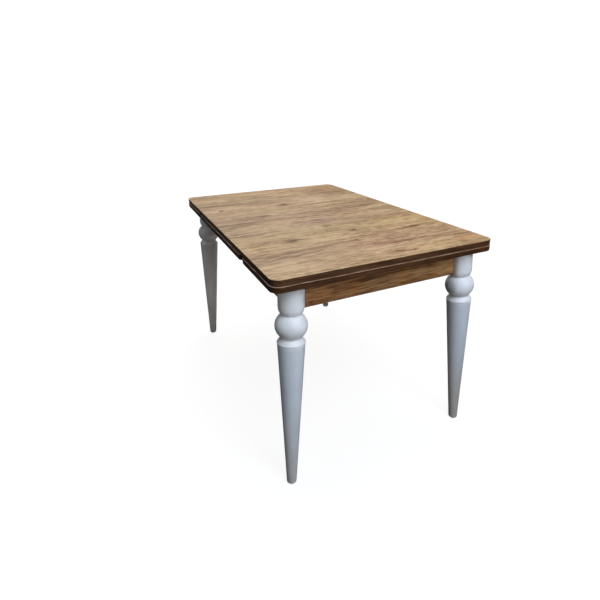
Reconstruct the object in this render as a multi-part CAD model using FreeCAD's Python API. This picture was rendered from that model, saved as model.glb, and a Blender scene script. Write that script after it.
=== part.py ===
import FreeCAD, Part
import os, math

os.makedirs("parts", exist_ok=True)
V = FreeCAD.Vector

# ------------------------------------------------------------------ driving dimensions (mm)
LENGTH = 1200.0          # closed length, along X
WIDTH = 800.0            # along Y
HEIGHT = 765.0           # floor to the top face of the main top
BOARD_T = 18.0           # every table board
LAMINATE_T = 0.8         # decor sheet that runs over the edge band
BAND_T = 2.0             # edge band thickness
LOWER_PROUD = 1.5        # lower boards stand this far outside the main top, on every side
CORNER_R = 31.0          # outer corners in plan
LEAF_INNER_R = 35.0      # corners of a leaf next to the centre board
CENTRE_R = 10.0          # corners of the centre board

TOP_Z0 = HEIGHT - BOARD_T            # underside of the main top
FELT_T = 2.0
CENTRE_Z1 = TOP_Z0 - FELT_T          # top face of the centre board
CENTRE_Z0 = CENTRE_Z1 - BOARD_T
LEAF_DROP = 0.5                      # a leaf lies this far below the centre board
LEAF_Z1 = CENTRE_Z1 - LEAF_DROP
LEAF_Z0 = LEAF_Z1 - BOARD_T
CENTRE_HALF = 300.0                  # half length of the centre board
LEAF_GAP = 2.0                       # closed gap between a leaf and the centre board
LEAF_TRAVEL = 300.0
TOP_LIFT = 21.0

FACE_X = 542.0           # outer face of an end apron
FACE_Y = 328.0           # outer face of the front and back aprons
APRON_T = 18.0
APRON_Z0 = 638.0
APRON_Z1 = 725.5

RUNNER_W = 25.0
RUNNER_H = 24.0
RUNNER_Y_RIGHT = 180.0   # the right leaf's runners lie at +- this Y
RUNNER_Y_LEFT = 215.0    # the left leaf's runners lie at +- this Y
RUNNER_TAIL = 215.0      # how far a runner reaches past the middle of the table
NOTCH_W = 27.0
GLIDE_T = 1.2
GLIDE_CLEAR = 0.3

RAIL_X = 170.0           # middle of each cross rail
RAIL_T = 18.0
RAIL_Z0 = 645.0

LEG_FOOT_X = 577.47      # leg axis where it meets the floor
LEG_FOOT_Y = 363.15
LEG_CANT = 0.06018       # outward lean of a leg, per unit of height, in X and in Y
GLIDER_H = 5.0           # foot pad
BOLT_R = 4.0
PEG_R = 8.0
PEG_X = 230.0
PEG_Y = 80.0

RUNNER_Z1 = LEAF_Z0
RUNNER_Z0 = RUNNER_Z1 - RUNNER_H
NOTCH_Z0 = RUNNER_Z0 - GLIDE_CLEAR - GLIDE_T


# ------------------------------------------------------------------ helpers
def box(x0, x1, y0, y1, z0, z1):
    return Part.makeBox(x1 - x0, y1 - y0, z1 - z0, V(x0, y0, z0))


def cyl(x, y, z, r, h, direction=V(0, 0, 1)):
    return Part.makeCylinder(r, h, V(x, y, z), direction)


def plate(x0, x1, y0, y1, z0, z1, radii):
    """Flat plate with four plan corner radii: (x1,y1), (x0,y1), (x0,y0), (x1,y0)."""
    s = math.sqrt(0.5)
    corners = [(x1, y1, -1, -1, radii[0]), (x0, y1, 1, -1, radii[1]),
               (x0, y0, 1, 1, radii[2]), (x1, y0, -1, 1, radii[3])]
    pts = []
    for i, (x, y, ix, iy, r) in enumerate(corners):
        cx, cy = x + ix * r, y + iy * r
        along_y = V(x, cy, z0)
        along_x = V(cx, y, z0)
        mid = V(cx - ix * r * s, cy - iy * r * s, z0)
        pts.append((along_y, mid, along_x) if i % 2 == 0 else (along_x, mid, along_y))
    edges = []
    for i in range(4):
        a, m, b = pts[i]
        edges.append(Part.Arc(a, m, b).toShape())
        edges.append(Part.makeLine(b, pts[(i + 1) % 4][0]))
    return Part.Face(Part.Wire(edges)).extrude(V(0, 0, z1 - z0))


def board_and_band(x0, x1, y0, y1, z0, z1, radii):
    """A board whose decor sheet covers the top of its edge band, and that band."""
    zl = z1 - LAMINATE_T
    sheet = plate(x0, x1, y0, y1, zl, z1, radii)
    rim = [e for e in sheet.Edges if all(abs(v.Z - z1) < 1e-6 for v in e.Vertexes)]
    sheet = sheet.makeFillet(0.45, rim)
    t = BAND_T
    inner = [r - t for r in radii]
    core = plate(x0 + t, x1 - t, y0 + t, y1 - t, z0, zl, inner)
    board = core.fuse(sheet).removeSplitter()
    full = plate(x0, x1, y0, y1, z0, zl, radii)
    low = [e for e in full.Edges if all(abs(v.Z - z0) < 1e-6 for v in e.Vertexes)]
    full = full.makeFillet(1.2, low)
    band = full.cut(plate(x0 + t, x1 - t, y0 + t, y1 - t, z0 - 1, z1 + 1, inner))
    return board, band


def group(shapes):
    return shapes[0] if len(shapes) == 1 else Part.makeCompound(shapes)


def screw(x, y, z, direction, length, r=2.1, head_r=4.0, head_h=2.4):
    """Countersunk screw: (x, y, z) is the middle of its flat head, direction points to its tip."""
    d = V(direction)
    d.normalize()
    head = Part.makeCone(head_r, r, head_h, V(x, y, z), d)
    start = V(x, y, z) + d * head_h
    body = Part.makeCylinder(r, length - head_h - 3.0, start, d)
    tip = Part.makeCone(r, 0.5, 3.0, start + d * (length - head_h - 3.0), d)
    slot_a = Part.makeBox(4.0, 0.9, 1.2, V(-2.0, -0.45, 0))
    slot_b = Part.makeBox(0.9, 4.0, 1.2, V(-0.45, -2.0, 0))
    cross = slot_a.fuse(slot_b)
    cross.Placement = FreeCAD.Placement(V(x, y, z), FreeCAD.Rotation(V(0, 0, 1), d))
    return head.fuse(body).fuse(tip).removeSplitter().cut(cross)


def screw_hole(x, y, z, direction, length, r=2.1, head_r=4.0, head_h=2.4):
    """The hole that such a screw fills."""
    d = V(direction)
    d.normalize()
    head = Part.makeCone(head_r, r, head_h, V(x, y, z), d)
    start = V(x, y, z) + d * head_h
    body = Part.makeCylinder(r, length - head_h - 3.0, start, d)
    tip = Part.makeCone(r, 0.5, 3.0, start + d * (length - head_h - 3.0), d)
    return head.fuse(body).fuse(tip).removeSplitter()


def nodes_out(shapes):
    for name, shape in shapes.items():
        solids = shape.Solids
        bad = [i for i, s in enumerate(solids) if not s.isValid() or s.Volume <= 0]
        print("%-26s solids %2d  volume %10.1f  %s" % (name, len(solids), shape.Volume, "BAD %s" % bad if bad else "ok"))
        shape.exportStep(os.path.join("parts", name + ".step"))


OUT = {}
BOTH = (1, -1)

# ------------------------------------------------------------------ screw and bolt places
# leg bolts: (axis letter, x, y, z) where each crosses the frame's corner
BOLT_AX_Y, BOLT_AX_Z = 299.0, 696.0       # the bolt that runs along X
BOLT_AY_X, BOLT_AY_Z = 513.0, 664.0       # the bolt that runs along Y
BLOCK = 42.0                              # corner block's side
IN_X = FACE_X - APRON_T                   # inner face of an end apron
IN_Y = FACE_Y - APRON_T                   # inner face of the front and back aprons
BOLT_BITE = 23.0                          # how far a bolt goes into the leg

bolt_cuts = []
for sx in BOTH:
    for sy in BOTH:
        bolt_cuts.append(cyl(sx * (IN_X - BLOCK - 14), sy * BOLT_AX_Y, BOLT_AX_Z, BOLT_R, BLOCK + 14 + APRON_T + BOLT_BITE, V(sx, 0, 0)))
        bolt_cuts.append(cyl(sx * BOLT_AY_X, sy * (IN_Y - BLOCK - 14), BOLT_AY_Z, BOLT_R, BLOCK + 14 + APRON_T + BOLT_BITE, V(0, sy, 0)))
BOLT_CUT = Part.makeCompound(bolt_cuts)

block_screws = []
block_holes = []
for sx in BOTH:
    for sy in BOTH:
        for z in (656.0, 706.0):
            block_screws.append(screw(sx * (IN_X - BLOCK), sy * (IN_Y - BLOCK + 9), z, V(sx, 0, 0), BLOCK + 11))
            block_holes.append(screw_hole(sx * (IN_X - BLOCK), sy * (IN_Y - BLOCK + 9), z, V(sx, 0, 0), BLOCK + 11))
        for z in (681.0, 715.0):
            block_screws.append(screw(sx * (IN_X - BLOCK + 9), sy * (IN_Y - BLOCK), z, V(0, sy, 0), BLOCK + 11))
            block_holes.append(screw_hole(sx * (IN_X - BLOCK + 9), sy * (IN_Y - BLOCK), z, V(0, sy, 0), BLOCK + 11))
BLOCK_HOLES = Part.makeCompound(block_holes)

# ------------------------------------------------------------------ legs
# turned outline as (radius, height along the axis), from the flat at the top down to the foot
CYL_R = 39.6
CYL_END = [(39.6, 656.0), (39.45, 652.0), (38.9, 647.0), (37.5, 642.0), (35.2, 637.3), (32.6, 633.4)]
BALL_R, BALL_Z, BALL_H = 49.8, 593.4, 46.4      # radius, middle height, half height
NECK_TOP_R, NECK_LOW_R = 31.5, 33.0
RING = [(34.2, 553.4), (37.6, 548.7), (40.9, 544.2), (43.2, 540.7), (43.9, 538.7)]
GROOVE = [(43.6, 537.7), (41.9, 537.0), (41.9, 535.8)]
CONE_TOP = (43.0, 534.8)
CONE_FOOT = (17.2, 14.0)


def arc_pts(cx, cz, rx, rz, a0, a1, n):
    return [V(cx + rx * math.cos(a0 + (a1 - a0) * k / n), 0, cz + rz * math.sin(a0 + (a1 - a0) * k / n)) for k in range(n + 1)]


def spline(points):
    c = Part.BSplineCurve()
    c.interpolate(points)
    return c.toShape()


def turned_leg():
    top = 760.0
    at = lambda p: V(p[0], 0, p[1])
    edges = []
    edges.append(Part.makeLine(V(0, 0, top), V(CYL_R, 0, top)))
    edges.append(Part.makeLine(V(CYL_R, 0, top), at(CYL_END[0])))
    # rounded lower end of the cylinder, then the quirk above the ball
    edges.append(spline([at(p) for p in CYL_END]))
    quirk = V(NECK_TOP_R, 0, CYL_END[-1][1] - 1.6)
    edges.append(Part.makeLine(at(CYL_END[-1]), quirk))
    ball = arc_pts(0, BALL_Z, BALL_R, BALL_H, math.acos(NECK_TOP_R / BALL_R), -math.acos(NECK_LOW_R / BALL_R), 24)
    edges.append(Part.makeLine(quirk, ball[0]))
    edges.append(spline(ball))
    # ring: a shoulder that swells out to a crisp edge, with a fine groove under it
    edges.append(Part.makeLine(ball[-1], at(RING[0])))
    edges.append(spline([at(p) for p in RING]))
    turn = [RING[-1]] + GROOVE + [CONE_TOP]
    for a, b in zip(turn[:-1], turn[1:]):
        edges.append(Part.makeLine(at(a), at(b)))
    # long taper to the foot
    edges.append(Part.makeLine(at(CONE_TOP), at(CONE_FOOT)))
    toe = arc_pts(14.2, 10.0, 2.95, 9.0, math.radians(26), math.radians(-60), 8)
    edges.append(Part.makeLine(at(CONE_FOOT), toe[0]))
    edges.append(spline(toe))
    edges.append(Part.makeLine(toe[-1], V(toe[-1].x - 0.5, 0, -30.0)))
    edges.append(Part.makeLine(V(toe[-1].x - 0.5, 0, -30.0), V(0, 0, -30.0)))
    edges.append(Part.makeLine(V(0, 0, -30.0), V(0, 0, top)))
    face = Part.Face(Part.Wire(edges))
    return face.revolve(V(0, 0, 0), V(0, 0, 1), 360)


LEG = turned_leg()
feet = []
for sx, nx in ((1, "right"), (-1, "left")):
    for sy, ny in ((-1, "front"), (1, "back")):
        leg = LEG.copy()
        lean = V(-sx * LEG_CANT, -sy * LEG_CANT, 1.0)
        leg.Placement = FreeCAD.Placement(V(sx * LEG_FOOT_X, sy * LEG_FOOT_Y, 0), FreeCAD.Rotation(V(0, 0, 1), lean))
        keep = box(*sorted((sx * 430, sx * 660)), *sorted((sy * 230, sy * 460)), GLIDER_H, APRON_Z1)
        leg = leg.common(keep)
        # rebate that hugs the frame's corner
        rebate = box(*sorted((sx * 400, sx * FACE_X)), *sorted((sy * 200, sy * FACE_Y)), APRON_Z0, 800)
        leg = leg.cut(rebate).cut(BOLT_CUT)
        leg = leg.Solids[0]
        OUT["leg_%s_%s" % (ny, nx)] = leg
        fx, fy = sx * (LEG_FOOT_X - LEG_CANT * GLIDER_H), sy * (LEG_FOOT_Y - LEG_CANT * GLIDER_H)
        pad = cyl(fx, fy, 0, 13.0, GLIDER_H)
        pad = pad.makeFillet(1.5, [e for e in pad.Edges if len(e.Vertexes) == 1 and abs(e.Vertexes[0].Z) < 1e-6])
        feet.append(pad)
OUT["foot_pads"] = group(feet)

# ------------------------------------------------------------------ frame: aprons, blocks, rails
for sx, name, ry in ((1, "end_apron_right", RUNNER_Y_RIGHT), (-1, "end_apron_left", RUNNER_Y_LEFT)):
    a = box(*sorted((sx * IN_X, sx * FACE_X)), -FACE_Y, FACE_Y, APRON_Z0, APRON_Z1)
    for sy in BOTH:
        a = a.cut(box(*sorted((sx * 500, sx * 560)), sy * ry - NOTCH_W / 2, sy * ry + NOTCH_W / 2, NOTCH_Z0, 760))
    OUT[name] = a.cut(BOLT_CUT).cut(BLOCK_HOLES)

blocks = []
for sx in BOTH:
    for sy in BOTH:
        b = box(*sorted((sx * (IN_X - BLOCK), sx * IN_X)), *sorted((sy * (IN_Y - BLOCK), sy * IN_Y)), 646.0, 722.0)
        # inner vertical edge planed off
        e = [k for k in b.Edges if len(k.Vertexes) == 2
             and all(abs(abs(v.X) - (IN_X - BLOCK)) < 1e-6 and abs(abs(v.Y) - (IN_Y - BLOCK)) < 1e-6 for v in k.Vertexes)]
        b = b.makeChamfer(4.0, e)
        blocks.append(b.cut(BOLT_CUT).cut(BLOCK_HOLES))
OUT["corner_blocks"] = group(blocks)
OUT["corner_block_screws"] = group(block_screws)

bolts, washers, nuts = [], [], []
for sx in BOTH:
    for sy in BOTH:
        for px, py, pz, d in ((sx * (IN_X - BLOCK), sy * BOLT_AX_Y, BOLT_AX_Z, V(sx, 0, 0)),
                              (sx * BOLT_AY_X, sy * (IN_Y - BLOCK), BOLT_AY_Z, V(0, sy, 0))):
            seat = V(px, py, pz)
            rod = Part.makeCylinder(BOLT_R, 12 + BLOCK + APRON_T + BOLT_BITE, seat - d * 12, d)
            rod = rod.makeChamfer(0.8, [e for e in rod.Edges if e.Closed])
            bolts.append(rod)
            w = Part.makeCylinder(8.5, 1.6, seat - d * 1.6, d).cut(Part.makeCylinder(BOLT_R, 1.6, seat - d * 1.6, d))
            washers.append(w)
            turn = FreeCAD.Rotation(V(0, 0, 1), d)
            hexa = [turn.multVec(V(7.506 * math.cos(math.radians(60 * k)), 7.506 * math.sin(math.radians(60 * k)), 0)) + seat - d * 8.1 for k in range(7)]
            nut = Part.Face(Part.makePolygon(hexa)).extrude(d * 6.5)
            nut = nut.common(Part.makeCone(6.6, 9.9, 3.3, seat - d * 8.1, d).fuse(Part.makeCylinder(9.9, 3.2, seat - d * 4.8, d)))
            nut = nut.cut(Part.makeCylinder(BOLT_R, 10, seat - d * 9, d))
            nuts.append(nut)
OUT["leg_hanger_bolts"] = group(bolts)
OUT["leg_washers"] = group(washers)
OUT["leg_nuts"] = group(nuts)

# cross rail brackets: steel angles between a rail's inner-facing side and the long aprons
brackets, bracket_screws, bracket_holes = [], [], []
for sx in BOTH:
    xf = RAIL_X - RAIL_T / 2                      # side of the rail that faces the middle
    for sy in BOTH:
        a = box(*sorted((sx * (xf - 2), sx * xf)), *sorted((sy * (IN_Y - 28), sy * IN_Y)), 655, 690)
        b = box(*sorted((sx * (xf - 28), sx * xf)), *sorted((sy * (IN_Y - 2), sy * IN_Y)), 655, 690)
        br = a.fuse(b).removeSplitter()
        for z in (663.0, 682.0):
            for where, d in ((V(sx * (xf - 2), sy * (IN_Y - 18), z), V(sx, 0, 0)), (V(sx * (xf - 18), sy * (IN_Y - 2), z), V(0, sy, 0))):
                bracket_screws.append(screw(where.x, where.y, where.z, d, 15, 1.9, 3.6, 1.8))
                bracket_holes.append(screw_hole(where.x, where.y, where.z, d, 15, 1.9, 3.6, 1.8))
        brackets.append(br)
BRACKET_HOLES = Part.makeCompound(bracket_holes)
OUT["rail_brackets"] = group([b.cut(BRACKET_HOLES) for b in brackets])
OUT["rail_bracket_screws"] = group(bracket_screws)

# cleats that the centre board is screwed down to
CLEAT_H, CLEAT_W, CLEAT_HALF = 22.0, 22.0, 155.0
board_screws, board_holes, cleat_screws, cleat_holes = [], [], [], []
for sy in BOTH:
    for x in (-110.0, 0.0, 110.0):
        board_screws.append(screw(x, sy * (IN_Y - CLEAT_W / 2), CENTRE_Z0 - CLEAT_H, V(0, 0, 1), 34))
        board_holes.append(screw_hole(x, sy * (IN_Y - CLEAT_W / 2), CENTRE_Z0 - CLEAT_H, V(0, 0, 1), 34))
    for x in (-60.0, 60.0):
        cleat_screws.append(screw(x, sy * (IN_Y - CLEAT_W), CENTRE_Z0 - CLEAT_H / 2 - 2, V(0, sy, 0), 35))
        cleat_holes.append(screw_hole(x, sy * (IN_Y - CLEAT_W), CENTRE_Z0 - CLEAT_H / 2 - 2, V(0, sy, 0), 35))
BOARD_HOLES = Part.makeCompound(board_holes)
CLEAT_HOLES = Part.makeCompound(cleat_holes)
for sy, name in ((-1, "front"), (1, "back")):
    a = box(-IN_X, IN_X, *sorted((sy * IN_Y, sy * FACE_Y)), APRON_Z0, APRON_Z1)
    OUT["%s_apron" % name] = a.cut(BOLT_CUT).cut(BLOCK_HOLES).cut(BRACKET_HOLES).cut(CLEAT_HOLES)
    c = box(-CLEAT_HALF, CLEAT_HALF, *sorted((sy * (IN_Y - CLEAT_W), sy * IN_Y)), CENTRE_Z0 - CLEAT_H, CENTRE_Z0)
    OUT["%s_cleat" % name] = c.cut(BOARD_HOLES).cut(CLEAT_HOLES)
OUT["centre_board_screws"] = group(board_screws)
OUT["cleat_screws"] = group(cleat_screws)

for sx, name in ((1, "cross_rail_right"), (-1, "cross_rail_left")):
    r = box(*sorted((sx * (RAIL_X - RAIL_T / 2), sx * (RAIL_X + RAIL_T / 2))), -IN_Y, IN_Y, RAIL_Z0, CENTRE_Z0)
    for y in (RUNNER_Y_RIGHT, RUNNER_Y_LEFT):
        for sy in BOTH:
            r = r.cut(box(*sorted((sx * 150, sx * 190)), sy * y - NOTCH_W / 2, sy * y + NOTCH_W / 2, NOTCH_Z0, 760))
    OUT[name] = r.cut(BRACKET_HOLES)

# glide pads on the floor of every notch that a runner bears on
glides = []
for sx, ry in ((1, RUNNER_Y_RIGHT), (-1, RUNNER_Y_LEFT)):
    for sy in BOTH:
        glides.append(box(*sorted((sx * (IN_X + 1), sx * (FACE_X - 1))), sy * ry - NOTCH_W / 2, sy * ry + NOTCH_W / 2, NOTCH_Z0, NOTCH_Z0 + GLIDE_T))
    for ry2 in (RUNNER_Y_RIGHT, RUNNER_Y_LEFT):
        for sy in BOTH:
            glides.append(box(*sorted((sx * (RAIL_X - 8), sx * (RAIL_X + 8))), sy * ry2 - NOTCH_W / 2, sy * ry2 + NOTCH_W / 2, NOTCH_Z0, NOTCH_Z0 + GLIDE_T))
OUT["runner_glides"] = group(glides)

# ------------------------------------------------------------------ centre board, bushes, felts
LX, LY = LENGTH / 2, WIDTH / 2
cb, cb_band = board_and_band(-CENTRE_HALF, CENTRE_HALF, -LY, LY, CENTRE_Z0, CENTRE_Z1, [CENTRE_R] * 4)
bushes, felts = [], []
for sx in BOTH:
    for sy in BOTH:
        cb = cb.cut(cyl(sx * PEG_X, sy * PEG_Y, CENTRE_Z0 - 1, 11.0, BOARD_T + 2))
        sleeve = cyl(sx * PEG_X, sy * PEG_Y, CENTRE_Z0, 11.0, BOARD_T)
        flange = cyl(sx * PEG_X, sy * PEG_Y, CENTRE_Z1, 14.0, 1.2)
        bushes.append(sleeve.fuse(flange).removeSplitter().cut(cyl(sx * PEG_X, sy * PEG_Y, CENTRE_Z0 - 1, PEG_R + 0.08, BOARD_T + 4)))
        felts.append(cyl(sx * 262.0, sy * 345.0, CENTRE_Z1, 12.0, FELT_T))
    felts.append(cyl(sx * 262.0, 0, CENTRE_Z1, 12.0, FELT_T))
for sy in BOTH:
    felts.append(cyl(0, sy * 345.0, CENTRE_Z1, 12.0, FELT_T))
OUT["centre_board"] = cb.cut(BOARD_HOLES)
OUT["centre_board_band"] = cb_band
OUT["peg_bushes"] = group(bushes)
OUT["felt_pads"] = group(felts)

# ------------------------------------------------------------------ main top and its pegs
m = LOWER_PROUD
mt, mt_band = board_and_band(-LX + m, LX - m, -LY + m, LY - m, TOP_Z0, HEIGHT, [CORNER_R - m] * 4)
pegs = []
for sx in BOTH:
    for sy in BOTH:
        mt = mt.cut(cyl(sx * PEG_X, sy * PEG_Y, TOP_Z0 - 1, PEG_R, 11.0))
        peg = cyl(sx * PEG_X, sy * PEG_Y, TOP_Z0 - 42.0, PEG_R, 52.0)
        peg = peg.makeChamfer(1.8, [e for e in peg.Edges if len(e.Vertexes) == 1 and abs(e.Vertexes[0].Z - (TOP_Z0 - 42.0)) < 1e-6])
        pegs.append(peg)
OUT["main_top"] = mt
OUT["main_top_band"] = mt_band
OUT["guide_pegs"] = group(pegs)

# ------------------------------------------------------------------ leaves with their runners
STOP_FACE = RAIL_X - RAIL_T / 2 - 0.5 - LEAF_TRAVEL     # leading face of a stop block when closed
STOP_L, STOP_H = 20.0, 14.0
for sx, side, ry in ((1, "right", RUNNER_Y_RIGHT), (-1, "left", RUNNER_Y_LEFT)):
    x_in, x_out = CENTRE_HALF + LEAF_GAP, LX
    if sx > 0:
        lf, band = board_and_band(x_in, x_out, -LY, LY, LEAF_Z0, LEAF_Z1, [CORNER_R, LEAF_INNER_R, LEAF_INNER_R, CORNER_R])
    else:
        lf, band = board_and_band(-x_out, -x_in, -LY, LY, LEAF_Z0, LEAF_Z1, [LEAF_INNER_R, CORNER_R, CORNER_R, LEAF_INNER_R])
    screws, holes, stop_screws, stop_holes, stops, pair = [], [], [], [], [], []
    for sy in BOTH:
        for x in (335.0, 420.0, 505.0):
            screws.append(screw(sx * x, sy * ry, RUNNER_Z0, V(0, 0, 1), RUNNER_H + 11))
            holes.append(screw_hole(sx * x, sy * ry, RUNNER_Z0, V(0, 0, 1), RUNNER_H + 11))
        stop_screws.append(screw(sx * (STOP_FACE - STOP_L / 2), sy * ry, RUNNER_Z0 - STOP_H, V(0, 0, 1), STOP_H + 16))
        stop_holes.append(screw_hole(sx * (STOP_FACE - STOP_L / 2), sy * ry, RUNNER_Z0 - STOP_H, V(0, 0, 1), STOP_H + 16))
    H = Part.makeCompound(holes)
    SH = Part.makeCompound(stop_holes)
    for sy, fb in ((-1, "front"), (1, "back")):
        r = box(*sorted((-sx * RUNNER_TAIL, sx * (FACE_X - 1))), sy * ry - RUNNER_W / 2, sy * ry + RUNNER_W / 2, RUNNER_Z0, RUNNER_Z1)
        tail = [e for e in r.Edges if len(e.Vertexes) == 2 and all(abs(v.X + sx * RUNNER_TAIL) < 1e-6 for v in e.Vertexes)]
        r = r.makeChamfer(2.0, tail)
        OUT["runner_%s_%s" % (side, fb)] = r.cut(H).cut(SH)
        stops.append(box(*sorted((sx * (STOP_FACE - STOP_L), sx * STOP_FACE)), sy * ry - 11, sy * ry + 11, RUNNER_Z0 - STOP_H, RUNNER_Z0).cut(SH))
    OUT["leaf_%s" % side] = lf.cut(H)
    OUT["leaf_%s_band" % side] = band
    OUT["runner_screws_%s" % side] = group(screws)
    OUT["stop_blocks_%s" % side] = group(stops)
    OUT["stop_screws_%s" % side] = group(stop_screws)

nodes_out(OUT)
print("nodes", len(OUT))
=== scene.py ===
import math

import bpy
from mathutils import Matrix, Vector

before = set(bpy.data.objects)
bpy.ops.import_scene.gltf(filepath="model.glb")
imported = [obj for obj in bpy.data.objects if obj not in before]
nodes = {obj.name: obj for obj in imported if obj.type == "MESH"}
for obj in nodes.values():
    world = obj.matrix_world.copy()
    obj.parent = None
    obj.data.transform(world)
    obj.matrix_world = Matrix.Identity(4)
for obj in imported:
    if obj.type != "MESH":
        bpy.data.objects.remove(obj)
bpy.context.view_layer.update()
scene = bpy.context.scene


# ---------------------------------------------------------------- node helpers
class Net:
    """One material and short ways to add nodes to it."""

    def __init__(self, name):
        self.mat = bpy.data.materials.new(name)
        self.mat.use_nodes = True
        self.nt = self.mat.node_tree
        self.nt.nodes.clear()
        self.coord = self.new("ShaderNodeTexCoord")

    def new(self, kind, **props):
        n = self.nt.nodes.new(kind)
        for k, v in props.items():
            setattr(n, k, v)
        return n

    def put(self, value, socket):
        if isinstance(value, bpy.types.NodeSocket):
            self.nt.links.new(value, socket)
        elif isinstance(value, (tuple, list)) and socket.type == "RGBA" and len(value) == 3:
            socket.default_value = (*value, 1.0)
        else:
            socket.default_value = value

    def m(self, op, a, b=None, c=None, clamp=False):
        n = self.new("ShaderNodeMath", operation=op, use_clamp=clamp)
        for value, socket in zip((a, b, c), n.inputs):
            if value is not None:
                self.put(value, socket)
        return n.outputs[0]

    def add(self, a, b):
        return self.m("ADD", a, b)

    def mul(self, a, b):
        return self.m("MULTIPLY", a, b)

    def madd(self, a, b, c):
        return self.m("MULTIPLY_ADD", a, b, c)

    def xyz(self, x, y, z):
        n = self.new("ShaderNodeCombineXYZ")
        for value, socket in zip((x, y, z), n.inputs):
            self.put(value, socket)
        return n.outputs[0]

    def split(self, v):
        n = self.new("ShaderNodeSeparateXYZ")
        self.put(v, n.inputs[0])
        return n.outputs[0], n.outputs[1], n.outputs[2]

    def noise(self, v, scale=1.0, detail=2.0, rough=0.5, distort=0.0):
        n = self.new("ShaderNodeTexNoise", noise_dimensions="3D")
        self.put(v, n.inputs["Vector"])
        n.inputs["Scale"].default_value = scale
        n.inputs["Detail"].default_value = detail
        n.inputs["Roughness"].default_value = rough
        n.inputs["Distortion"].default_value = distort
        return n.outputs[0]

    def step(self, x, lo, hi, out_lo=0.0, out_hi=1.0, smooth=True):
        n = self.new("ShaderNodeMapRange", interpolation_type="SMOOTHSTEP" if smooth else "LINEAR")
        for value, socket in zip((x, lo, hi, out_lo, out_hi), n.inputs):
            self.put(value, socket)
        return n.outputs[0]

    def mix(self, fac, a, b, blend="MIX"):
        n = self.new("ShaderNodeMix", data_type="RGBA", blend_type=blend)
        self.put(fac, n.inputs[0])
        self.put(a, n.inputs[6])
        self.put(b, n.inputs[7])
        return n.outputs[2]

    def ramp(self, x, stops, smooth=False):
        n = self.new("ShaderNodeValToRGB")
        e = n.color_ramp
        e.interpolation = "EASE" if smooth else "LINEAR"
        while len(e.elements) < len(stops):
            e.elements.new(0.5)
        for el, (pos, col) in zip(e.elements, stops):
            el.position = pos
            el.color = (col, col, col, 1) if isinstance(col, float) else (*col, 1)
        self.put(x, n.inputs[0])
        return n.outputs[0]

    def bump(self, height, strength, distance, normal=None):
        n = self.new("ShaderNodeBump")
        n.inputs["Strength"].default_value = strength
        n.inputs["Distance"].default_value = distance
        self.put(height, n.inputs["Height"])
        if normal is not None:
            self.put(normal, n.inputs["Normal"])
        return n.outputs[0]

    def finish(self, colour, rough, normal=None, **fixed):
        p = self.new("ShaderNodeBsdfPrincipled")
        self.put(colour, p.inputs["Base Color"])
        self.put(rough, p.inputs["Roughness"])
        if normal is not None:
            self.put(normal, p.inputs["Normal"])
        for k, v in fixed.items():
            p.inputs[k].default_value = v
        out = self.new("ShaderNodeOutputMaterial")
        self.nt.links.new(p.outputs[0], out.inputs["Surface"])
        return self.mat


def dress(mat, *names):
    """Gives a material to CAD nodes."""
    for n in names:
        o = nodes[n]
        o.data.materials.clear()
        o.data.materials.append(mat)


# ---------------------------------------------------------------- wood decor
# A printed oak decor. "across" runs over the grain and "along" with it. Knots are
# (across, along, half width, half length, darkness) in metres: the grain parts
# round each one. Joints are plank lines (place across, strength).
def wood_field(net, across, along, third, seed, knots=(), sway=1.0):
    x, y, z = net.split(net.coord.outputs["Object"])
    ax = {"X": x, "Y": y, "Z": z}
    a, g, t = ax[across], ax[along], ax[third]
    # slow sway of the grain, then a finer one
    w0 = net.noise(net.xyz(net.madd(a, 2.4, seed), net.mul(g, 1.25), net.mul(t, 3.0)), detail=2, rough=0.45)
    w1 = net.noise(net.xyz(net.mul(a, 9.0), net.madd(g, 4.2, seed), net.mul(t, 5.0)), detail=2, rough=0.5)
    u = net.madd(net.m("SUBTRACT", w0, 0.5), 0.075 * sway, a)
    u = net.madd(net.m("SUBTRACT", w1, 0.5), 0.014 * sway, u)
    core = halo = eye = None
    for ka, kg, ra, rg, dark in knots:
        da = net.m("SUBTRACT", a, ka)
        dg = net.m("SUBTRACT", g, kg)
        # a ragged, slightly leaning outline
        qa = net.mul(net.madd(dg, 0.12 if dark > 0.5 else -0.15, da), 1.0 / ra)
        qg = net.mul(dg, 1.0 / rg)
        d2 = net.madd(qa, qa, net.mul(qg, qg))
        wide = net.m("EXPONENT", net.mul(d2, -0.16))
        u = net.m("SUBTRACT", u, net.mul(net.mul(da, 0.86), wide))
        near = net.mul(net.m("EXPONENT", net.mul(d2, -0.30)), dark)
        halo = near if halo is None else net.m("MAXIMUM", halo, near)
        ring = net.m("SQRT", d2)
        inner = net.mul(net.step(ring, 0.35, 1.15, 1.0, 0.0), dark)
        core = inner if core is None else net.m("MAXIMUM", core, inner)
        eye = ring if eye is None else net.m("MINIMUM", eye, ring)
    return a, g, t, u, core, halo, eye


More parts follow.
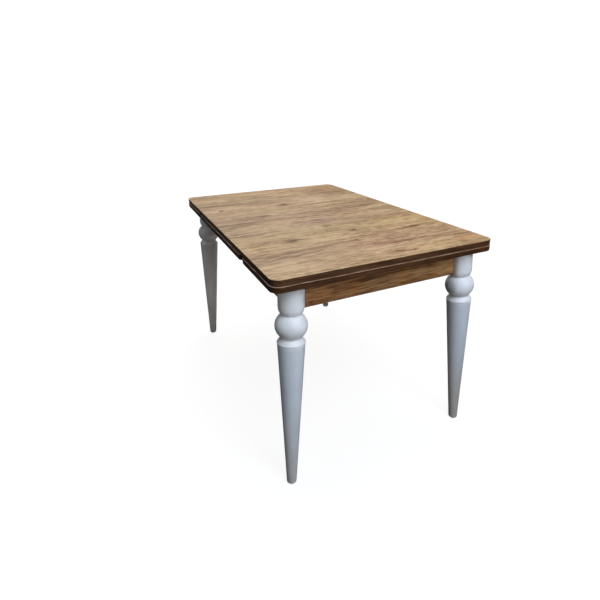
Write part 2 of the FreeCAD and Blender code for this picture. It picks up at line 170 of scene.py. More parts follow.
def oak(name, across="X", along="Y", third="Z", seed=0.0, knots=(), joints=(), zones=None, dashes=(), stains=(),
        dark=(0.156, 0.078, 0.033), low=(0.245, 0.146, 0.073), mid=(0.319, 0.206, 0.109),
        high=(0.385, 0.263, 0.146), light=(0.459, 0.325, 0.193), knot=(0.074, 0.031, 0.009),
        contrast=1.0, rough=0.54, sway=1.0, mauve=0.35, stretch=1.0, dense=1.0, shaded_arris=None, sheet_edge_and_highlight=None):
    net = Net(name)
    a, g, t, u, core, halo, eye = wood_field(net, across, along, third, seed, knots, sway)
    k = stretch
    d = dense
    # broad bands, growth lines, fibre and pores, all following the same flow
    broad = net.noise(net.xyz(net.madd(u, 12.0 * d, seed), net.mul(g, 1.1 * k), net.mul(t, 2.0)), detail=3, rough=0.5)
    lines = net.noise(net.xyz(net.madd(u, 46.0 * d, seed), net.mul(g, 5.0 * k), net.mul(t, 8.0)), detail=5, rough=0.62)
    fine = net.noise(net.xyz(net.madd(u, 190.0 * d, seed), net.mul(g, 25.0 * k), net.mul(t, 30.0)), detail=3, rough=0.66)
    pores = net.noise(net.xyz(net.madd(u, 620.0, seed), net.mul(g, 42.0), net.mul(t, 80.0)), detail=2, rough=0.5)
    cloud = net.noise(net.xyz(net.madd(a, 9.0 * k, seed + 3.7), net.mul(g, 5.2 * k), net.mul(t, 3.0)), detail=4, rough=0.6)
    v = net.madd(net.m("SUBTRACT", broad, 0.5), 0.60 * contrast, 0.578)
    v = net.madd(net.m("SUBTRACT", lines, 0.5), 2.00 * contrast, v)
    v = net.madd(net.m("SUBTRACT", fine, 0.5), 2.30 * contrast, v)
    v = net.madd(net.m("SUBTRACT", cloud, 0.5), 0.50 * contrast, v)
    # sparse darker growth lines that come and go along the board
    streak = net.noise(net.xyz(net.madd(u, 38.0 * d, seed + 9.1), net.mul(g, 1.5 * k), net.mul(t, 4.0)), detail=5, rough=0.66)
    gate = net.noise(net.xyz(net.madd(a, 8.0, seed + 1.3), net.mul(g, 3.2), t), detail=1, rough=0.4)
    gate = net.step(gate, 0.42, 0.60, 0.10, 1.0)
    for da, dg, ra, rg, dark_by in dashes:
        # patches where short dark lines crowd together
        qa = net.mul(net.m("SUBTRACT", a, da), 1.0 / ra)
        qg = net.mul(net.m("SUBTRACT", g, dg), 1.0 / rg)
        patch = net.m("EXPONENT", net.mul(net.madd(qa, qa, net.mul(qg, qg)), -1.0))
        gate = net.madd(patch, dark_by, gate)
    gate = net.m("MAXIMUM", gate, 0.0)
    streak = net.mul(net.step(streak, 0.53, 0.62), gate)
    v = net.madd(streak, -0.42 * contrast, v)
    if zones is not None:
        z = net.step(net.madd(net.m("SUBTRACT", cloud, 0.5), 0.05, a), -0.62, 0.62, 0.0, 1.0, smooth=False)
        shade = net.ramp(z, [(p, s) for p, s, _, _ in zones], smooth=True)
        v = net.m("SUBTRACT", v, net.madd(shade, 0.24, -0.12))
    if core is not None:
        v = net.madd(halo, -0.38, v)
    colour = net.ramp(v, [(0.0, dark), (0.30, low), (0.52, mid), (0.74, high), (1.0, light)])
    # drifting hue: pinkish, olive and mauve parts of the print
    hue = net.noise(net.xyz(net.madd(a, 4.2, seed + 5.0), net.mul(g, 1.7), net.mul(t, 3.0)), detail=2, rough=0.5)
    colour = net.mix(net.step(hue, 0.50, 0.66, 0.0, 0.55), colour,
                     net.mix(1.0, colour, (1.045, 0.975, 0.97), "MULTIPLY"))
    colour = net.mix(net.step(hue, 0.50, 0.34, 0.0, 0.60), colour,
                     net.mix(1.0, colour, (0.94, 1.005, 0.93), "MULTIPLY"))
    dusk = net.mul(net.step(cloud, 0.47, 0.33), net.step(broad, 0.56, 0.42))
    colour = net.mix(net.mul(dusk, mauve), colour, net.mix(1.0, colour, (0.86, 0.82, 0.90), "MULTIPLY"))
    if zones is not None:
        pink = net.mul(net.ramp(z, [(p, w) for p, _, w, _ in zones], smooth=True), 0.85)
        gold = net.mul(net.ramp(z, [(p, w) for p, _, _, w in zones], smooth=True), 0.85)
        colour = net.mix(pink, colour, net.mix(1.0, colour, (1.03, 0.955, 0.985), "MULTIPLY"))
        colour = net.mix(gold, colour, net.mix(1.0, colour, (1.03, 1.02, 0.86), "MULTIPLY"))
    for sa, sg, ra, rg, tint in stains:
        # soft stains of another hue in the print
        qa = net.mul(net.m("SUBTRACT", a, sa), 1.0 / ra)
        qg = net.mul(net.m("SUBTRACT", g, sg), 1.0 / rg)
        patch = net.m("EXPONENT", net.mul(net.madd(qa, qa, net.mul(qg, qg)), -1.0))
        patch = net.mul(patch, net.step(lines, 0.34, 0.58, 1.0, 0.45))
        colour = net.mix(patch, colour, net.mix(1.0, colour, tint, "MULTIPLY"))
    colour = net.mix(net.step(pores, 0.58, 0.70, 0.0, 0.42), colour,
                     net.mix(1.0, colour, (0.62, 0.56, 0.50), "MULTIPLY"))
    for place, strength in joints:
        off = net.m("ABSOLUTE", net.m("SUBTRACT", net.madd(net.m("SUBTRACT", u, a), 0.12, a), place))
        colour = net.mix(net.step(off, 0.0004, 0.0032, strength, 0.0), colour,
                         net.mix(1.0, colour, (0.66, 0.58, 0.52), "MULTIPLY"))
    if core is not None:
        rings = net.m("SINE", net.madd(eye, 9.0, net.mul(fine, 7.0)))
        colour = net.mix(net.mul(halo, net.step(rings, -0.2, 1.0, 0.10, 0.42)), colour,
                         net.mix(1.0, colour, (0.70, 0.60, 0.52), "MULTIPLY"))
        ragged = net.step(net.madd(net.m("SUBTRACT", lines, 0.5), 1.3, core), 0.30, 0.66)
        colour = net.mix(net.mul(ragged, 0.90), colour, knot)
    # painted shade: darker in a strip just above the bottom edge, where the board turns under
    if shaded_arris is not None:
        colour = net.mix(net.step(a, shaded_arris + 0.0075, shaded_arris + 0.0010), colour, net.mix(1.0, colour, (0.55, 0.50, 0.48), "MULTIPLY"))
    if sheet_edge_and_highlight is not None:
        # the decor sheet's cut edge shows as a pale line round the board, lifted further by a painted highlight that is
        # paler and bluish on the long sides
        px, py, _ = net.split(net.coord.outputs["Object"])
        qx = net.m("MAXIMUM", net.m("SUBTRACT", net.m("ABSOLUTE", px), 0.569), 0.0)
        qy = net.m("MAXIMUM", net.m("SUBTRACT", net.m("ABSOLUTE", py), 0.369), 0.0)
        out = net.m("SQRT", net.madd(qx, qx, net.mul(qy, qy)))
        tint = net.mix(net.step(net.m("ABSOLUTE", py), 0.384, 0.396), sheet_edge_and_highlight, (1.42, 1.55, 2.45))
        colour = net.mix(net.step(out, 0.0284, 0.0290), colour, net.mix(1.0, colour, tint, "MULTIPLY"))
    rgh = net.madd(net.m("SUBTRACT", fine, 0.5), 0.16, net.madd(net.m("SUBTRACT", cloud, 0.5), 0.10, rough))
    relief = net.madd(fine, 0.55, net.mul(net.step(pores, 0.56, 0.74, 0.0, 1.0), -0.8))
    relief = net.madd(lines, 0.35, relief)
    nrm = net.bump(relief, 0.30, 0.00025)
    return net.finish(colour, rgh, nrm, **{"Specular IOR Level": 0.34})


# the top's own knots and streaks, read off the real one's print in rough places
TOP_KNOTS = [
    (-0.229, -0.034, 0.0175, 0.0220, 0.90),
    (-0.236, -0.320, 0.0130, 0.0160, 0.75),
    (-0.058, -0.190, 0.0095, 0.0130, 0.60),
    (0.300, -0.212, 0.0150, 0.0200, 1.00),
    (0.276, 0.040, 0.0105, 0.0150, 0.85),
    (0.186, -0.030, 0.0080, 0.0110, 0.70),
    (0.384, -0.014, 0.0080, 0.0100, 0.60),
    (0.546, 0.040, 0.0080, 0.0180, 0.70),
    (0.560, 0.094, 0.0070, 0.0130, 0.55),
    (0.336, 0.262, 0.0065, 0.0280, 0.60),
    (-0.142, 0.372, 0.0120, 0.0140, 0.60),
    (-0.425, -0.300, 0.0080, 0.0120, 0.45),
]
# where short dark lines crowd together, and stains of another hue
TOP_DASHES = [
    (0.332, 0.235, 0.018, 0.080, 1.0), (0.372, 0.330, 0.022, 0.090, 1.0), (0.546, 0.060, 0.016, 0.070, 0.9),
    (0.130, 0.150, 0.030, 0.150, 0.7), (-0.150, -0.330, 0.030, 0.110, 0.7), (-0.050, -0.200, 0.030, 0.100, 0.4),
    (0.460, 0.190, 0.016, 0.200, 0.5), (-0.330, 0.200, 0.030, 0.200, 0.5), (0.040, 0.300, 0.030, 0.120, 0.5),
    (-0.430, -0.290, 0.030, 0.090, 0.6), (0.255, -0.230, 0.014, 0.060, 0.7), (-0.160, 0.350, 0.030, 0.080, 0.7),
    (0.450, -0.270, 0.090, 0.150, -0.75),
]
TOP_STAINS = [
    (0.109, -0.026, 0.022, 0.062, (0.62, 0.46, 0.74)), (-0.300, 0.170, 0.040, 0.120, (0.98, 0.93, 0.98)),
    (-0.110, -0.190, 0.020, 0.060, (0.95, 0.88, 0.94)), (0.455, 0.120, 0.020, 0.180, (0.95, 0.89, 0.94)),
    (-0.236, -0.110, 0.022, 0.045, (1.04, 1.02, 0.80)), (0.205, 0.230, 0.030, 0.110, (1.04, 1.02, 0.86)),
    (0.250, 0.360, 0.050, 0.070, (1.06, 1.01, 0.82)), (0.550, 0.160, 0.018, 0.080, (1.08, 0.98, 0.80)),
    (-0.480, 0.100, 0.050, 0.200, (1.04, 0.99, 0.90)), (0.040, -0.330, 0.080, 0.090, (0.97, 0.98, 0.98)),
    (0.090, 0.320, 0.040, 0.140, (0.92, 0.93, 0.97)), (-0.240, 0.290, 0.210, 0.170, (1.20, 1.38, 1.40)),
    (0.420, -0.220, 0.200, 0.240, (0.97, 0.98, 0.90)), (0.430, 0.280, 0.130, 0.200, (1.23, 1.20, 1.28)),
    (0.430, 0.000, 0.120, 0.120, (1.14, 1.11, 1.14)), (0.140, -0.240, 0.120, 0.120, (1.07, 1.10, 1.03)),
    (0.536, 0.335, 0.018, 0.050, (1.24, 0.90, 0.72)), (0.455, -0.265, 0.110, 0.160, (0.83, 0.81, 0.75)),
    (0.330, -0.330, 0.050, 0.060, (1.02, 1.02, 0.86)),
]
TOP_JOINTS = [(-0.378, 0.45), (-0.176, 0.40), (0.024, 0.65), (0.168, 0.60), (0.392, 0.55), (0.470, 0.35)]
# place over the width of the print, darkness, pinkness, goldness
TOP_ZONES = [
    (0.00, 0.50, 0.00, 0.40), (0.10, 0.38, 0.10, 0.40), (0.19, 0.52, 0.20, 0.15),
    (0.24, 0.74, 0.45, 0.00), (0.30, 0.45, 0.55, 0.10), (0.37, 0.40, 0.50, 0.25),
    (0.44, 0.55, 0.75, 0.05), (0.49, 0.62, 0.10, 0.10), (0.53, 0.50, 0.00, 0.20),
    (0.60, 0.66, 0.45, 0.00), (0.635, 0.70, 0.50, 0.00), (0.66, 0.36, 0.10, 0.70),
    (0.76, 0.34, 0.15, 0.70), (0.80, 0.55, 0.35, 0.30), (0.86, 0.72, 0.60, 0.00),
    (0.90, 0.46, 0.55, 0.25), (1.00, 0.40, 0.30, 0.60),
]

oak_top = oak("oak_decor_top", seed=2.0, knots=TOP_KNOTS, joints=TOP_JOINTS, zones=TOP_ZONES, contrast=1.11,
              dashes=TOP_DASHES, stains=TOP_STAINS)
dress(oak_top, "main_top")

LEAF_R_KNOTS = [(0.372, -0.140, 0.009, 0.014, 0.75), (0.455, 0.215, 0.012, 0.018, 0.85), (0.535, -0.300, 0.007, 0.011, 0.5), (0.512, 0.03, 0.005, 0.012, 0.45)]
LEAF_L_KNOTS = [(-0.392, 0.110, 0.010, 0.016, 0.85), (-0.500, -0.245, 0.012, 0.018, 0.7), (-0.552, 0.290, 0.006, 0.011, 0.5), (-0.45, -0.03, 0.005, 0.010, 0.5)]
CENTRE_KNOTS = [(-0.180, 0.200, 0.010, 0.014, 0.7), (0.055, -0.260, 0.012, 0.018, 0.85), (0.205, 0.120, 0.008, 0.012, 0.6), (-0.04, -0.02, 0.006, 0.010, 0.5)]
dress(oak("oak_decor_leaf_right", seed=17.0, knots=LEAF_R_KNOTS, joints=[(0.405, 0.5), (0.560, 0.45)],
          sheet_edge_and_highlight=(1.30, 1.13, 1.46)), "leaf_right")
dress(oak("oak_decor_leaf_left", seed=29.0, knots=LEAF_L_KNOTS, joints=[(-0.430, 0.5), (-0.575, 0.45)],
          sheet_edge_and_highlight=(1.30, 1.13, 1.46)), "leaf_left")
dress(oak("oak_decor_centre", seed=41.0, knots=CENTRE_KNOTS, joints=[(-0.120, 0.5), (0.095, 0.45)],
          sheet_edge_and_highlight=(1.30, 1.13, 1.46)), "centre_board")

APRON_COL = dict(dark=(0.123, 0.047, 0.015), low=(0.225, 0.101, 0.036), mid=(0.317, 0.154, 0.059),
                 high=(0.399, 0.207, 0.084), light=(0.491, 0.273, 0.121), knot=(0.065, 0.026, 0.010),
                 contrast=0.92, rough=0.44, sway=0.22, mauve=0.2, stretch=0.80, dense=1.45, shaded_arris=0.638)
dress(oak("oak_decor_end_apron", across="Z", along="Y", third="X", seed=6.3,
          knots=[(0.690, 0.181, 0.0050, 0.0110, 0.50), (0.651, -0.262, 0.0045, 0.0100, 0.55)],
          dashes=[(0.692, 0.170, 0.012, 0.050, 0.5), (0.655, -0.240, 0.010, 0.050, 0.6), (0.660, 0.060, 0.020, 0.070, 0.4),
                  (0.694, -0.050, 0.010, 0.070, 0.9)],
          stains=[(0.672, -0.110, 0.030, 0.026, (1.20, 0.99, 0.78)), (0.668, 0.070, 0.040, 0.020, (1.18, 0.98, 0.78)),
                  (0.675, -0.240, 0.024, 0.045, (1.18, 1.00, 0.80)), (0.668, 0.145, 0.034, 0.050, (0.99, 1.03, 1.03)),
                  (0.665, 0.270, 0.034, 0.070, (1.14, 1.20, 1.20)), (0.694, -0.050, 0.016, 0.070, (0.80, 0.78, 0.78)),
                  (0.664, -0.010, 0.030, 0.110, (0.71, 0.74, 0.76))],
          **APRON_COL),
      "end_apron_right", "end_apron_left")
dress(oak("oak_decor_side_apron", across="Z", along="X", third="Y", seed=11.0,
          knots=[(0.676, -0.310, 0.005, 0.011, 0.6), (0.662, 0.215, 0.006, 0.013, 0.7)],
          dashes=[(0.680, -0.290, 0.012, 0.060, 0.9), (0.660, 0.240, 0.012, 0.060, 0.9), (0.670, 0.020, 0.020, 0.080, 0.5)],
          stains=[(0.672, -0.150, 0.030, 0.026, (1.20, 0.98, 0.76)), (0.668, 0.110, 0.040, 0.018, (1.18, 0.97, 0.78)),
                  (0.675, 0.380, 0.022, 0.030, (1.15, 0.98, 0.78)), (0.672, -0.420, 0.020, 0.040, (1.10, 1.10, 1.04))],
          **APRON_COL),
      "front_apron", "back_apron")


# ---------------------------------------------------------------- dark edge band
def edge_band(name):
    """Dark walnut-coloured edging, streaked along each edge and round the corners, with painted shade darkening the
    long sides.
    """
    net = Net(name)
    x, y, z = net.split(net.coord.outputs["Object"])
    nx, ny, nz = net.split(net.coord.outputs["Normal"])
    ends = net.step(net.m("ABSOLUTE", nx), 0.60, 0.80)
    run = net.mix(ends, net.xyz(net.mul(x, 5.0), 7.3, net.mul(z, 330.0)),
                  net.xyz(1.9, net.mul(y, 5.0), net.mul(z, 330.0)))
    streak = net.noise(run, detail=4, rough=0.55)
    soft = net.noise(net.xyz(net.mul(x, 7.0), net.mul(y, 7.0), net.mul(z, 60.0)), detail=2, rough=0.5)
    fibre = net.noise(net.mix(ends, net.xyz(net.mul(x, 34.0), 3.1, net.mul(z, 1500.0)),
                              net.xyz(0.4, net.mul(y, 34.0), net.mul(z, 1500.0))), detail=2, rough=0.5)
    v = net.madd(net.m("SUBTRACT", streak, 0.5), 1.25, 0.5)
    v = net.madd(net.m("SUBTRACT", soft, 0.5), 0.8, v)
    v = net.madd(net.m("SUBTRACT", fibre, 0.5), 0.35, v)
    colour = net.ramp(v, [(0.12, (0.028, 0.010, 0.004)), (0.42, (0.063, 0.026, 0.010)),
                          (0.64, (0.101, 0.048, 0.019)), (0.92, (0.160, 0.088, 0.038))])
    red = net.noise(net.xyz(net.mul(x, 3.0), net.mul(y, 3.0), net.mul(z, 90.0)), detail=1, rough=0.5)
    colour = net.mix(net.step(red, 0.48, 0.66, 0.0, 0.7), colour,
                     net.mix(1.0, colour, (1.05, 0.80, 0.78), "MULTIPLY"))
    # painted shade: the edging on the long sides is darkened, the ends keep their colour
    colour = net.mix(ends, net.mix(1.0, colour, (0.72, 0.70, 0.72), "MULTIPLY"), colour)
    # the boards below the top are edged a shade darker
    colour = net.mix(net.step(z, 0.7440, 0.7430), colour, net.mix(1.0, colour, (0.84, 0.79, 0.68), "MULTIPLY"))
    rgh = net.madd(net.m("SUBTRACT", streak, 0.5), 0.22, net.step(ends, 0.0, 1.0, 0.60, 0.40))
    return net.finish(colour, rgh, net.bump(net.madd(fibre, 0.6, streak), 0.35, 0.0002),
                      **{"Specular IOR Level": 0.40})


dress(edge_band("dark_edge_band"), "main_top_band", "leaf_right_band", "leaf_left_band", "centre_board_band")


# ---------------------------------------------------------------- white lacquer
LEG_FOOT, LEG_CANT = (0.57747, 0.36315), 0.06018


def lacquer(name, sx, sy, foot_shade, taper_shade, flank_shade):
    """White satin lacquer on a turned leg, with painted shade on the tapers, towards the floor, in the grooves and on
    the side against the apron. Height is taken along the leg's own axis.
    """
    net = Net(name)
    x, y, z = net.split(net.coord.outputs["Object"])
    # the axis leans in as it rises; straighten it so that rings lie square to it
    lx = net.madd(z, LEG_CANT * sx, net.m("SUBTRACT", x, LEG_FOOT[0] * sx))
    ly = net.madd(z, LEG_CANT * sy, net.m("SUBTRACT", y, LEG_FOOT[1] * sy))
    h = net.m("SUBTRACT", z, net.madd(lx, LEG_CANT * sx, net.mul(ly, LEG_CANT * sy)))
    # brush and sanding marks down the leg, faint lathe rings round it, orange peel
    down = net.noise(net.xyz(net.mul(lx, 210.0), net.mul(ly, 210.0), net.mul(h, 9.0)), detail=3, rough=0.6)
    rings = net.noise(net.xyz(3.3 + sx, 8.8 + sy, net.mul(h, 420.0)), detail=2, rough=0.6)
    peel = net.noise(net.xyz(net.mul(lx, 1500.0), net.mul(ly, 1500.0), net.mul(h, 1500.0)), detail=2, rough=0.5)
    cloud = net.noise(net.xyz(net.mul(lx, 14.0), net.mul(ly, 14.0), net.madd(h, 9.0, sx + 3.0 * sy)), detail=3, rough=0.55)
    colour = net.mix(net.step(cloud, 0.36, 0.64), (0.775, 0.787, 0.803), (0.835, 0.845, 0.858))
    colour = net.mix(net.step(down, 0.54, 0.72, 0.0, 0.22), colour, (0.690, 0.708, 0.730))
    # painted shade darkening the turned grooves, patchy along them
    groove_shade = None
    for place, width, depth in ((0.5364, 0.0017, 0.55), (0.5562, 0.0034, 0.26), (0.6310, 0.0040, 0.22)):
        k = net.m("DIVIDE", net.m("SUBTRACT", h, place), width)
        k = net.mul(net.m("EXPONENT", net.mul(net.mul(k, k), -1.0)), depth)
        groove_shade = k if groove_shade is None else net.m("MAXIMUM", groove_shade, k)
    colour = net.mix(net.mul(groove_shade, net.step(cloud, 0.30, 0.62, 0.5, 1.0)), colour, (0.330, 0.325, 0.310))
    # painted shade, set per leg: the tapers below the ring are darker and tinted, and the legs darker and warmer still
    # towards the floor, as the light falls off there
    colour = net.mix(net.step(h, 0.545, 0.517, 0.0, 1.0), colour, net.mix(1.0, colour, taper_shade, "MULTIPLY"))
    colour = net.mix(net.step(h, 0.38, 0.04, 0.0, 1.0), colour, net.mix(1.0, colour, foot_shade, "MULTIPLY"))
    # painted shade and a painted brown bounce from the apron on the side that stands against the end apron, strongest
    # on the back right leg
    inward = net.mul(net.split(net.coord.outputs["Normal"])[1], -1.0 * sy)
    inward = net.mul(net.step(inward, 0.74, 0.98), net.step(h, 0.556, 0.585))
    apron_bounce = net.mix(net.step(h, 0.628, 0.634), (max(flank_shade),) * 3, flank_shade)
    colour = net.mix(inward, colour, net.mix(1.0, colour, apron_bounce, "MULTIPLY"))
    # scuffed just above the floor
    scuff = net.mul(net.step(h, 0.075, 0.006), net.step(down, 0.40, 0.62, 0.25, 1.0))
    colour = net.mix(net.mul(scuff, 0.50), colour, (0.420, 0.395, 0.365))
    rgh = net.madd(net.m("SUBTRACT", cloud, 0.5), 0.14, net.madd(net.m("SUBTRACT", down, 0.5), 0.14, 0.42))
    rgh = net.madd(scuff, 0.15, rgh)
    height = net.madd(rings, 0.55, net.madd(down, 0.8, net.mul(peel, 0.25)))
    return net.finish(colour, rgh, net.bump(height, 0.28, 0.00022), **{"Specular IOR Level": 0.5})


for leg, sx, sy, foot_shade, taper_shade, flank_shade in (
        ("leg_front_right", 1, -1, (0.93, 0.86, 0.80), (0.81, 0.855, 0.907), (0.98, 0.96, 0.94)),
        ("leg_back_right", 1, 1, (0.84, 0.75, 0.63), (0.76, 0.80, 0.855), (0.62, 0.49, 0.36)),
        ("leg_front_left", -1, -1, (1.02, 0.98, 0.93), (0.91, 0.905, 0.885), (0.98, 0.96, 0.94)),
        ("leg_back_left", -1, 1, (0.95, 0.90, 0.84), (0.89, 0.90, 0.91), (0.90, 0.87, 0.83))):
    dress(lacquer("white_lacquer_" + leg[4:], sx, sy, foot_shade, taper_shade, flank_shade), leg)


# ---------------------------------------------------------------- hidden and small parts
def beech(name, along, seed):
    """Planed beech with its short dark flecks. along is X, Y, Z, or D for the corner blocks' slant."""
    net = Net(name)
    x, y, z = net.split(net.coord.outputs["Object"])
    if along == "D":
        bx, by = net.m("ABSOLUTE", x), net.m("ABSOLUTE", y)
        g = net.mul(net.m("SUBTRACT", bx, by), 0.7071)
        a, t = net.mul(net.add(bx, by), 0.7071), z
    else:
        g = {"X": x, "Y": y, "Z": z}[along]
        a, t = {"X": (y, z), "Y": (x, z), "Z": (x, y)}[along]
    sway = net.noise(net.xyz(net.madd(a, 6.0, seed), net.mul(g, 2.2), net.mul(t, 6.0)), detail=2)
    u = net.madd(net.m("SUBTRACT", sway, 0.5), 0.02, a)
    grain = net.noise(net.xyz(net.madd(u, 110.0, seed), net.mul(g, 3.5), net.mul(t, 110.0)), detail=4, rough=0.6)
    broad = net.noise(net.xyz(net.madd(u, 22.0, seed), net.mul(g, 1.3), net.mul(t, 22.0)), detail=3, rough=0.5)
    fleck = net.noise(net.xyz(net.madd(u, 900.0, seed), net.mul(g, 190.0), net.mul(t, 900.0)), detail=1, rough=0.4)
    v = net.madd(net.m("SUBTRACT", grain, 0.5), 0.9, net.madd(net.m("SUBTRACT", broad, 0.5), 0.9, 0.5))
    colour = net.ramp(v, [(0.1, (0.430, 0.262, 0.145)), (0.5, (0.560, 0.372, 0.226)), (0.9, (0.650, 0.465, 0.305))])
    colour = net.mix(net.step(fleck, 0.60, 0.70, 0.0, 0.45), colour, (0.300, 0.165, 0.085))
    rgh = net.madd(net.m("SUBTRACT", grain, 0.5), 0.2, 0.58)
    return net.finish(colour, rgh, net.bump(net.madd(fleck, -0.4, grain), 0.35, 0.0003), **{"Specular IOR Level": 0.35})


dress(beech("beech_rail", "Y", 1.0), "cross_rail_right", "cross_rail_left")
dress(beech("beech_runner", "X", 6.0), "runner_right_front", "runner_right_back", "runner_left_front",
      "runner_left_back", "stop_blocks_right", "stop_blocks_left", "front_cleat", "back_cleat")
dress(beech("beech_peg", "Z", 12.0), "guide_pegs")
dress(beech("beech_corner", "D", 19.0), "corner_blocks")


def steel(name, base, tint, rough):
    """Bright zinc plate: faint grey blotches and drawing lines."""
    net = Net(name)
    x, y, z = net.split(net.coord.outputs["Object"])
    blot = net.noise(net.xyz(net.mul(x, 140.0), net.mul(y, 140.0), net.mul(z, 140.0)), detail=3, rough=0.6)
    lines = net.noise(net.xyz(net.mul(x, 2600.0), net.mul(y, 300.0), net.mul(z, 300.0)), detail=2, rough=0.5)
    colour = net.mix(net.step(blot, 0.35, 0.65), base, tint)
    rgh = net.madd(net.m("SUBTRACT", blot, 0.5), 0.30, net.madd(net.m("SUBTRACT", lines, 0.5), 0.18, rough))
    return net.finish(colour, rgh, net.bump(net.madd(lines, 0.5, blot), 0.15, 0.0001), **{"Metallic": 1.0})


dress(steel("zinc_screw", (0.60, 0.60, 0.58), (0.74, 0.72, 0.64), 0.34), "centre_board_screws", "cleat_screws",
      "corner_block_screws", "rail_bracket_screws", "runner_screws_right", "runner_screws_left",
      "stop_screws_right", "stop_screws_left")
dress(steel("zinc_fitting", (0.55, 0.56, 0.58), (0.72, 0.73, 0.74), 0.38), "leg_hanger_bolts", "leg_washers",
      "leg_nuts", "rail_brackets")


def plastic(name, base, other, rough, grain):
    """Moulded plastic with a fine eroded texture."""
    net = Net(name)
    c = net.coord.outputs["Object"]
    peel = net.noise(c, scale=grain, detail=3, rough=0.6)
    cloud = net.noise(c, scale=60.0, detail=2, rough=0.5)
    colour = net.mix(net.step(cloud, 0.38, 0.62), base, other)
    return net.finish(colour, net.madd(net.m("SUBTRACT", peel, 0.5), 0.2, rough), net.bump(peel, 0.25, 0.0001))


dress(plastic("foot_plastic", (0.060, 0.056, 0.052), (0.090, 0.085, 0.080), 0.55, 2200.0), "foot_pads")
dress(plastic("nylon", (0.72, 0.70, 0.64), (0.80, 0.78, 0.73), 0.45, 1600.0), "runner_glides", "peg_bushes")


def felt(name):
    net = Net(name)
    c = net.coord.outputs["Object"]
    fibre = net.noise(c, scale=900.0, detail=4, rough=0.7, distort=1.2)
    cloud = net.noise(c, scale=120.0, detail=2, rough=0.5)
    v = net.madd(net.m("SUBTRACT", fibre, 0.5), 1.3, net.madd(net.m("SUBTRACT", cloud, 0.5), 0.5, 0.5))
    colour = net.ramp(v, [(0.2, (0.060, 0.045, 0.035)), (0.8, (0.155, 0.120, 0.095))])
    return net.finish(colour, 0.92, net.bump(fibre, 0.8, 0.0005), **{"Sheen Weight": 0.4, "Sheen Roughness": 0.5})


dress(felt("felt_pad"), "felt_pads")


# ---------------------------------------------------------------- studio
def plane(name, size):
    me = bpy.data.meshes.new(name)
    s = size / 2
    me.from_pydata([(-s, -s, 0), (s, -s, 0), (s, s, 0), (-s, s, 0)], [], [(0, 1, 2, 3)])
    o = bpy.data.objects.new(name, me)
    scene.collection.objects.link(o)
    return o


floor = plane("studio_floor", 120.0)
fm = bpy.data.materials.new("studio_floor")
fm.use_nodes = True
ft = fm.node_tree
ft.nodes.clear()
tc = ft.nodes.new("ShaderNodeTexCoord")
ln = ft.nodes.new("ShaderNodeVectorMath")
ln.operation = "LENGTH"
ft.links.new(tc.outputs["Object"], ln.inputs[0])
mr = ft.nodes.new("ShaderNodeMapRange")
mr.interpolation_type = "SMOOTHSTEP"
mr.inputs[1].default_value, mr.inputs[2].default_value = 0.9, 2.6
ft.links.new(ln.outputs["Value"], mr.inputs[0])
matt = ft.nodes.new("ShaderNodeBsdfDiffuse")
matt.inputs[0].default_value = (0.15, 0.15, 0.15, 1)
lift = ft.nodes.new("ShaderNodeEmission")
lift.inputs[0].default_value = (1, 1, 1, 1)
lift.inputs[1].default_value = 0.89
paint = ft.nodes.new("ShaderNodeAddShader")
ft.links.new(matt.outputs[0], paint.inputs[0])
ft.links.new(lift.outputs[0], paint.inputs[1])
glow = ft.nodes.new("ShaderNodeEmission")
glow.inputs[0].default_value = (1, 1, 1, 1)
glow.inputs[1].default_value = 1.05
mx = ft.nodes.new("ShaderNodeMixShader")
ft.links.new(mr.outputs[0], mx.inputs[0])
ft.links.new(paint.outputs[0], mx.inputs[1])
ft.links.new(glow.outputs[0], mx.inputs[2])
fo = ft.nodes.new("ShaderNodeOutputMaterial")
ft.links.new(mx.outputs[0], fo.inputs[0])
floor.data.materials.append(fm)
floor.visible_diffuse = False
floor.visible_glossy = False

# the room's light: white behind the table, softer and directional on it
world = bpy.data.worlds.new("studio")
scene.world = world
world.use_nodes = True
wt = world.node_tree
wt.nodes.clear()
wc = wt.nodes.new("ShaderNodeTexCoord")
ws = wt.nodes.new("ShaderNodeSeparateXYZ")
wt.links.new(wc.outputs["Generated"], ws.inputs[0])


# a faint even glow, so that no side is ever quite black
level = wt.nodes.new("ShaderNodeMapRange")
level.interpolation_type = "SMOOTHSTEP"
wt.links.new(ws.outputs[2], level.inputs[0])
for i, v in enumerate((-0.5, 0.6, 0.008, 0.014)):
    level.inputs[i + 1].default_value = v
bg_soft = wt.nodes.new("ShaderNodeBackground")
bg_soft.inputs[0].default_value = (1.0, 0.98, 0.95, 1)
wt.links.new(level.outputs[0], bg_soft.inputs[1])
bg_white = wt.nodes.new("ShaderNodeBackground")
bg_white.inputs[0].default_value = (1, 1, 1, 1)
bg_white.inputs[1].default_value = 1.05
lp = wt.nodes.new("ShaderNodeLightPath")
wm = wt.nodes.new("ShaderNodeMixShader")
wt.links.new(lp.outputs["Is Camera Ray"], wm.inputs[0])
wt.links.new(bg_soft.outputs[0], wm.inputs[1])
wt.links.new(bg_white.outputs[0], wm.inputs[2])
wo = wt.nodes.new("ShaderNodeOutputWorld")
wt.links.new(wm.outputs[0], wo.inputs[0])


def area(name, place, target, size, watts, colour):
    d = bpy.data.lights.new(name, "AREA")
    d.shape = "RECTANGLE"
    d.size, d.size_y = size
    d.energy = watts
    d.color = colour
    o = bpy.data.objects.new(name, d)
    o.location = place
    o.rotation_mode = "QUATERNION"
    o.rotation_quaternion = (Vector(target) - Vector(place)).to_track_quat("-Z", "Y")
    scene.collection.objects.link(o)
    return o


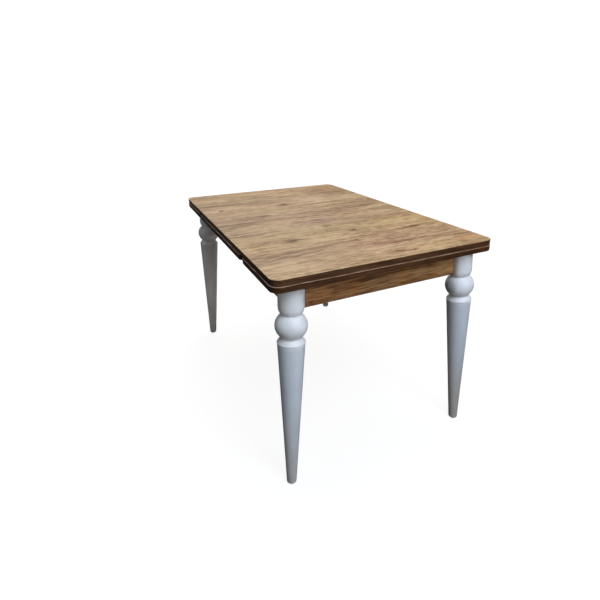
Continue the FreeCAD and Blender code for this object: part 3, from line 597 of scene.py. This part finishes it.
area("overhead", (-0.60, 0.36, 3.2), (-0.2, 0.10, 0.7), (3.0, 2.4), 70.0, (1.0, 1.0, 1.0))
area("far_soft", (-1.7, 0.4, 2.3), (-0.4, 0.0, 0.7), (1.6, 1.6), 15.0, (1.02, 1.02, 0.99))
area("window", (2.2, 0.0, 3.0), (0.4, 0.0, 0.5), (1.4, 1.4), 42.5, (0.87, 0.98, 1.16))
area("key", (2.0, 0.25, 1.5), (0.4, 0.0, 0.5), (1.0, 1.0), 8.9, (0.90, 0.99, 1.10))
area("near_soft", (1.45, -0.30, 1.12), (0.5, -0.10, 0.60), (0.5, 0.4), 1.35, (0.98, 1.0, 1.02))
area("low_front", (2.8, 0.40, 0.45), (0.0, 0.0, 0.40), (1.6, 0.7), 5.8, (1.04, 1.0, 0.96)).visible_glossy = False
area("left_fill", (-0.25, -2.7, 1.5), (0.1, -0.1, 0.45), (1.8, 1.4), 10.2, (1.0, 1.0, 0.98))
area("right_fill", (0.6, 2.7, 1.8), (0.2, 0.1, 0.45), (1.8, 1.4), 4.0, (1.20, 1.02, 0.82))
area("back_fill", (-2.9, 0.2, 0.62), (-0.3, 0.0, 0.40), (2.0, 1.1), 12.0, (1.03, 1.0, 0.95))
area("bounce", (1.35, -0.25, 0.05), (0.60, -0.02, 0.52), (0.9, 0.9), 0.65, (1.0, 1.0, 1.02)).visible_glossy = False
under_soft = area("under_soft", (0.10, -0.28, 0.31), (-0.57, -0.365, 0.29), (0.30, 0.10), 0.031, (1.04, 0.99, 0.95))
under_soft.data.spread = math.radians(46)
under_soft.visible_glossy = False

# the sides away from the camera, and what little the floor throws up under the table
area("back_low", (-2.0, 1.9, 0.52), (0.0, 0.05, 0.40), (1.8, 0.7), 16.0, (1.0, 1.0, 1.0)).visible_glossy = False
under_up = area("under_up", (-0.08, 0.0, 0.04), (-0.08, 0.0, 0.70), (0.8, 0.4), 0.9, (1.0, 0.98, 0.95))
under_up.data.spread = math.radians(70)
under_up.visible_glossy = False

# ---------------------------------------------------------------- camera
AZ, EL, ROLL = 1.1183, 0.43558, -0.00989
d = Vector((-math.sin(AZ) * math.cos(EL), math.cos(AZ) * math.cos(EL), -math.sin(EL)))
r = d.cross(Vector((0, 0, 1))).normalized()
u = r.cross(d)
r2 = r * math.cos(ROLL) + u * math.sin(ROLL)
u2 = u * math.cos(ROLL) - r * math.sin(ROLL)
cam_data = bpy.data.cameras.new("camera")
cam_data.sensor_width = 36.0
cam_data.lens = 24.654
cam_data.shift_x = -0.02849
cam_data.shift_y = -0.00919
cam_data.clip_start, cam_data.clip_end = 0.05, 200.0
cam_data.dof.use_dof = False
cam = bpy.data.objects.new("camera", cam_data)
cam.matrix_world = Matrix((
    (r2.x, u2.x, -d.x, 1.53463),
    (r2.y, u2.y, -d.y, -0.72377),
    (r2.z, u2.z, -d.z, 1.18590),
    (0, 0, 0, 1),
))
scene.collection.objects.link(cam)
scene.camera = cam

scene.view_settings.view_transform = "Standard"
scene.view_settings.look = "None"
scene.view_settings.exposure = 0.0
scene.view_settings.gamma = 1.0
